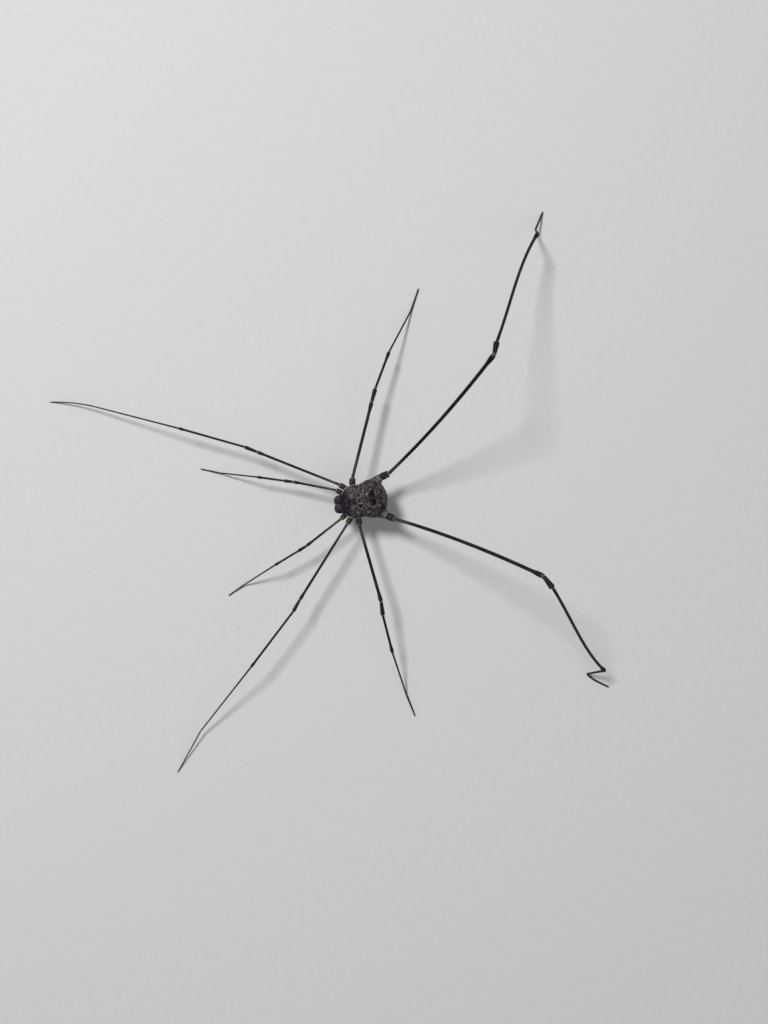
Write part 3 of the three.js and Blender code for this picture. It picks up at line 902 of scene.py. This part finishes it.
def mouthpart_surface(side, limb):
    """A limb beside the mouth, waisted at its joints, with a claw at its tip."""
    centres = smooth_path([mirrored(point, side) for point in limb["path"]], MOUTH_RINGS)
    share = np.linspace(0, 1, MOUTH_RINGS)
    centres[:, 0] += REACH[side] * smooth_step(0.1, 0.5, share)
    length = np.linalg.norm(np.diff(centres, axis=0), axis=1).sum()
    waist = sum(bell(share * length - joint * length, 1, WAIST) for joint in limb["joints"])
    widths = np.interp(share, *zip(*limb["radii"])) * (1 - WAIST_DEPTH * waist)
    points, faces, spokes = tube(centres, widths, MOUTH_SIDES, (0, 1, 0), limb["flatness"])
    cover = 1 - np.repeat(waist, MOUTH_SIDES)
    cap = with_ends(granulated(points, spokes, *MOUTH_GRANULES, cover))
    gap = over_rings(waist, MOUTH_SIDES)
    parts = [part(turned(points), faces, body=points, cap=cap, gap=gap)]
    ahead = unit(np.gradient(centres, axis=0))
    for place in limb["spines"]:
        i = round(place * (MOUTH_RINGS - 1))
        for edge in (1, -1):
            out = unit(np.array([-0.55, edge, -0.1]) + 0.35 * ahead[i])
            root = centres[i] + np.array([0, edge * widths[i] * 0.86, 0])
            spine, faces = cone(root, out, bend=ahead[i] * 0.35, **SPINE)
            parts.append(part(turned(spine), faces, body=spine, cap=np.full(len(spine), 0.6)))
    claw, faces = cone(centres[-4], ahead[-1], **MOUTH_CLAW)
    return joined([*parts, part(turned(claw), faces, body=claw)])


# Materials

def linear(value):
    """Linear light from a screen's value from 0 to 1."""
    return value / 12.92 if value <= 0.04045 else ((value + 0.055) / 1.055) ** 2.4


def srgb(*values):
    """Linear colour from the red, green and blue, 0 to 255, that a screen shows."""
    return (*(linear(value / 255) for value in values), 1.0)


class Paint:
    """A material with one shader, and short calls for the nodes that feed it."""

    def __init__(self, name, gloss):
        self.material = bpy.data.materials.new(name)
        self.material.use_nodes = True
        self.tree = self.material.node_tree
        self.shader = self.tree.nodes["Principled BSDF"]
        self.shader.inputs["Specular IOR Level"].default_value = gloss

    def node(self, kind, inputs=None, **settings):
        made = self.tree.nodes.new(kind)
        for name, value in settings.items():
            setattr(made, name, value)
        for name, value in (inputs or {}).items():
            socket = made.inputs[name]
            if isinstance(value, bpy.types.NodeSocket):
                self.tree.links.new(value, socket)
            else:
                socket.default_value = value
        return made

    def mark(self, name):
        return self.node("ShaderNodeAttribute", attribute_name=name).outputs["Fac"]

    def place(self, name):
        return self.node("ShaderNodeAttribute", attribute_name=name).outputs["Vector"]

    def noise(self, place, scale, detail=3.0):
        values = {"Vector": place, "Scale": scale, "Detail": detail, "Roughness": 0.55}
        return self.node("ShaderNodeTexNoise", values).outputs["Fac"]

    def vector(self, operation, inputs):
        return self.node("ShaderNodeVectorMath", inputs, operation=operation).outputs[0]

    def warped(self, place, scale, amount):
        push = self.node("ShaderNodeTexNoise", {"Vector": place, "Scale": scale, "Detail": 2.0})
        centred = self.vector("SUBTRACT", {0: push.outputs["Color"], 1: (0.5, 0.5, 0.5)})
        scaled = self.vector("SCALE", {0: centred, "Scale": amount})
        return self.vector("ADD", {0: place, 1: scaled})

    def cells(self, place, scale, feature="DISTANCE_TO_EDGE"):
        values = {"Vector": place, "Scale": scale}
        return self.node("ShaderNodeTexVoronoi", values, feature=feature).outputs["Distance"]

    def between(self, value, low, high, to_low=0.0, to_high=1.0):
        ranges = {"From Min": low, "From Max": high, "To Min": to_low, "To Max": to_high}
        made = self.node(
            "ShaderNodeMapRange", {"Value": value, **ranges}, interpolation_type="SMOOTHSTEP")
        return made.outputs["Result"]

    def calculate(self, operation, a, b):
        return self.node("ShaderNodeMath", {0: a, 1: b}, operation=operation).outputs[0]

    def times(self, a, b):
        return self.calculate("MULTIPLY", a, b)

    def blend(self, share, colour_a, colour_b):
        colours = {0: share, 6: colour_a, 7: colour_b}
        return self.node("ShaderNodeMix", colours, data_type="RGBA").outputs[2]

    def ramp(self, pattern, low, high, dark, light):
        """A colour that goes from dark to light as a pattern goes from low to high."""
        return self.blend(self.between(pattern, low, high), srgb(*dark), srgb(*light))

    def marked(self, base, name, strength, colour):
        """A base with a colour over it where a mark is."""
        return self.blend(self.times(self.mark(name), strength), base, colour)

    def finish(self, colour, grain, roughness, depth, height=None, grain_range=(0.3, 0.75)):
        """Links a colour, a roughness that follows the grain, and a relief, its depth in mm."""
        links = self.tree.links
        roughness = self.between(grain, *grain_range, *roughness)
        links.new(colour, self.shader.inputs["Base Color"])
        links.new(roughness, self.shader.inputs["Roughness"])
        values = {"Height": height or grain, "Distance": depth * MM, "Strength": 1.0}
        bump = self.node("ShaderNodeBump", values)
        links.new(bump.outputs["Normal"], self.shader.inputs["Normal"])
        return self.material


def shield_material():
    """Pale lace on dark purple-grey, with the marks of the back, painted shade in the grooves, and
    brown below.
    """
    paint = Paint("armour", 0.14)
    place = paint.place("body")
    network = paint.between(paint.cells(paint.warped(place, 1.9, 0.5), 2.15), 0.135, 0.06)
    finer = paint.between(paint.cells(paint.warped(place, 3.6, 0.25), 4.4), 0.11, 0.03)
    cloud = paint.noise(place, 1.1, 2.0)
    blot = paint.noise(place, 3.4, 2.0)
    grain = paint.noise(place, 16.0)
    base = paint.ramp(cloud, 0.35, 0.65, (22, 16, 21), (40, 33, 38))
    base = paint.blend(paint.between(blot, 0.5, 0.64, 0.0, 0.8), base, srgb(17, 12, 18))
    lacy = paint.times(network, paint.between(paint.noise(place, 2.0), 0.43, 0.57))
    thin = paint.times(finer, paint.between(blot, 0.58, 0.42, 0.0, 0.5))
    lace = paint.calculate("MAXIMUM", lacy, thin)
    lace = paint.times(lace, paint.between(paint.mark("cap"), 0.0, 0.4, 0.6, 1.0))
    pale = paint.ramp(paint.noise(place, 5.0, 2.0), 0.4, 0.6, (112, 102, 106), (150, 139, 142))
    base = paint.blend(lace, base, pale)
    base = paint.marked(base, "cap", paint.between(blot, 0.6, 0.42, 0.05, 0.45), srgb(98, 89, 92))
    base = paint.marked(base, "rim", paint.between(grain, 0.35, 0.5, 0.3, 0.8), pale)
    base = paint.marked(base, "rust", paint.between(blot, 0.35, 0.5, 0.5, 0.85), srgb(46, 28, 32))
    band = paint.ramp(blot, 0.4, 0.6, (62, 53, 51), (108, 96, 91))
    base = paint.marked(base, "band", 0.9, band)
    dark = paint.ramp(blot, 0.4, 0.65, (21, 16, 26), (38, 31, 43))
    base = paint.marked(base, "front", 0.93, dark)
    base = paint.blend(paint.mark("ink"), base, srgb(8, 5, 9))
    # Painted shade: the back grows darker the deeper its grooves are.
    base = paint.marked(base, "gap", 0.5, srgb(14, 9, 13))
    under = paint.ramp(cloud, 0.35, 0.65, (46, 36, 33), (76, 63, 56))
    under = paint.blend(paint.between(blot, 0.52, 0.62, 0.0, 0.7), under, srgb(30, 23, 23))
    under = paint.marked(under, "cap", 0.5, srgb(112, 98, 88))
    # Painted shade: the groove along the flank grows darker with its depth.
    under = paint.marked(under, "gap", 0.6, srgb(18, 13, 14))
    base = paint.blend(paint.between(paint.mark("top"), 0.0, 0.6), under, base)
    return paint.finish(base, grain, (0.5, 0.75), 0.008)


def underside_material():
    """Grey-brown, with pale rings, and a pale network on dark grey high on the coxae."""
    paint = Paint("underside_shell", 0.18)
    place = paint.place("body")
    cloud = paint.noise(place, 1.6)
    grain = paint.noise(place, 10.0)
    base = paint.ramp(cloud, 0.35, 0.65, (50, 39, 36), (86, 71, 62))
    network = paint.between(paint.cells(paint.warped(place, 2.0, 0.4), 2.3), 0.11, 0.035)
    upper = paint.ramp(cloud, 0.35, 0.65, (34, 26, 31), (60, 50, 53))
    upper = paint.blend(network, upper, srgb(112, 101, 102))
    base = paint.blend(paint.mark("high"), base, upper)
    base = paint.marked(base, "cap", 0.4, srgb(104, 94, 92))
    ring = paint.ramp(grain, 0.4, 0.7, (112, 102, 94), (146, 134, 124))
    base = paint.marked(base, "pale", 0.9, ring)
    base = paint.marked(base, "gap", 0.6, srgb(26, 19, 20))
    return paint.finish(base, grain, (0.5, 0.75), 0.01)


def leg_material():
    """Scaly brown-black with a painted highlight on each scale, olive near the body, with knobs,
    feet, pale rings and hairs.
    """
    paint = Paint("leg_shell", 0.2)
    place = paint.place("grain")
    cloud = paint.noise(place, 2.2)
    patches = paint.noise(place, 3.0)
    grain = paint.noise(place, 14.0)
    scales = paint.cells(place, 13.0, "F1")
    base = paint.ramp(cloud, 0.38, 0.64, (15, 12, 10), (34, 28, 24))
    # Painted highlight: each scale is lighter towards its middle, where its dome stands highest.
    base = paint.blend(paint.between(scales, 0.45, 0.1, 0.0, 0.35), base, srgb(52, 45, 39))
    olive = paint.ramp(cloud, 0.4, 0.62, (42, 38, 33), (76, 70, 62))
    base = paint.blend(paint.mark("olive"), base, olive)
    knob = paint.ramp(patches, 0.42, 0.6, (34, 31, 25), (66, 60, 49))
    plum = paint.ramp(patches, 0.42, 0.62, (27, 20, 22), (56, 46, 45))
    knob = paint.blend(paint.mark("plum"), knob, plum)
    knob = paint.marked(knob, "cap", 0.4, srgb(92, 82, 75))
    knob = paint.marked(knob, "gap", 0.7, srgb(20, 15, 14))
    base = paint.blend(paint.mark("knob"), base, knob)
    foot = paint.blend(cloud, srgb(32, 26, 22), srgb(54, 44, 37))
    base = paint.marked(base, "foot", 0.7, foot)
    ring = paint.ramp(grain, 0.4, 0.7, (112, 102, 92), (150, 138, 125))
    base = paint.marked(base, "pale", 0.9, ring)
    base = paint.blend(paint.mark("hair"), base, srgb(16, 12, 10))
    relief = paint.calculate("SUBTRACT", paint.times(grain, 0.6), scales)
    return paint.finish(base, grain, (0.45, 0.66), 0.012, relief)


def mouth_material():
    paint = Paint("mouthpart_shell", 0.25)
    place = paint.place("body")
    cloud = paint.noise(place, 2.5)
    grain = paint.noise(place, 12.0)
    base = paint.ramp(cloud, 0.35, 0.65, (20, 15, 24), (40, 33, 44))
    base = paint.marked(base, "cap", 0.4, srgb(70, 61, 70))
    base = paint.marked(base, "gap", 0.55, srgb(84, 72, 70))
    return paint.finish(base, grain, (0.4, 0.62), 0.008)


def eye_material():
    paint = Paint("eye_gloss", 0.6)
    paint.shader.inputs["Coat Weight"].default_value = 0.6
    paint.shader.inputs["Coat Roughness"].default_value = 0.05
    place = paint.node("ShaderNodeTexCoord").outputs["Object"]
    cloud = paint.noise(place, 2500.0, 2.0)
    base = paint.ramp(cloud, 0.4, 0.7, (8, 7, 9), (26, 20, 22))
    return paint.finish(base, cloud, (0.08, 0.2), 0.0005, grain_range=(0.3, 0.8))


def floor_material():
    paint = Paint("pale_floor", 0.2)
    place = paint.node("ShaderNodeTexCoord").outputs["Object"]
    speck = paint.noise(place, 900.0, 2.0)
    base = paint.blend(speck, (0.66, 0.66, 0.655, 1), (0.7, 0.7, 0.695, 1))
    return paint.finish(base, speck, (0.75, 0.85), 0.01, grain_range=(0.3, 0.7))


# The animal

shield = shield_material()
shell_below = underside_material()
leg_shell = leg_material()
mouth_shell = mouth_material()
eye_gloss = eye_material()

piece("trunk_skin", trunk_surface(), shield, ["scutum", "free_tergites", "ocularium"])
coxae = [coxa_surface(side, number) for side in SIDE_NAMES for number in LEG_PAIRS]
plates = [belly_plate(*plate) for plate in [OPERCULUM, *STERNITES]]
piece("coxae_and_sternites", joined(coxae + plates), shell_below, ["venter_and_coxae"])
for side, side_name in SIDE_NAMES.items():
    piece(f"eyeball_{side_name}", eye_surface(side), eye_gloss, [f"eye_{side_name}"])
    for limb, shape in MOUTHPARTS.items():
        name = f"{limb}_skin_{side_name}"
        skin = mouthpart_surface(side, shape)
        piece(name, skin, mouth_shell, [f"{limb}_{side_name}"])
    for number in LEG_PAIRS:
        nodes = [f"leg_{side_name}_{number}_{name}" for name in SEGMENTS]
        piece(f"leg_skin_{side_name}_{number}", leg_surface(side, number), leg_shell, nodes)

# Floor, light and camera

FLOOR_HALF = 1.5  # metres
floor_mesh = bpy.data.meshes.new("floor")
corners = [(x * FLOOR_HALF, y * FLOOR_HALF, 0) for x, y in [(-1, -1), (1, -1), (1, 1), (-1, 1)]]
floor_mesh.from_pydata(corners, [], [(0, 1, 2, 3)])
floor_mesh.materials.append(floor_material())
floor = added("floor", floor_mesh)


def soft_light(name, place, size, power):
    """A round lamp that shines on the origin, its place and size in metres."""
    lamp = bpy.data.lights.new(name, "AREA")
    lamp.shape = "DISK"
    lamp.size = size
    lamp.energy = power
    made = added(name, lamp)
    made.location = place
    made.rotation_euler = (-Vector(place)).to_track_quat("-Z", "Y").to_euler()


soft_light("key", (-0.2, 0.22, 0.45), 0.13, 2.25)
soft_light("fill", (0.4, -0.3, 0.5), 0.5, 0.55)
world = bpy.data.worlds.new("studio")
world.use_nodes = True
background = world.node_tree.nodes["Background"].inputs
background["Color"].default_value = (0.9, 0.93, 1.0, 1)
background["Strength"].default_value = 0.22
scene.world = world
scene.view_settings.view_transform = "Standard"

camera_data = bpy.data.cameras.new("camera")
camera_data.sensor_fit = "VERTICAL"
camera_data.sensor_height = SENSOR
camera_data.sensor_width = SENSOR
camera_data.lens = SENSOR * CAMERA_HEIGHT / PIXEL / PHOTO_HEIGHT
camera_data.clip_start = 0.005
camera = added("camera", camera_data)
camera.location = in_metres((0, 0, CAMERA_HEIGHT))
scene.camera = camera
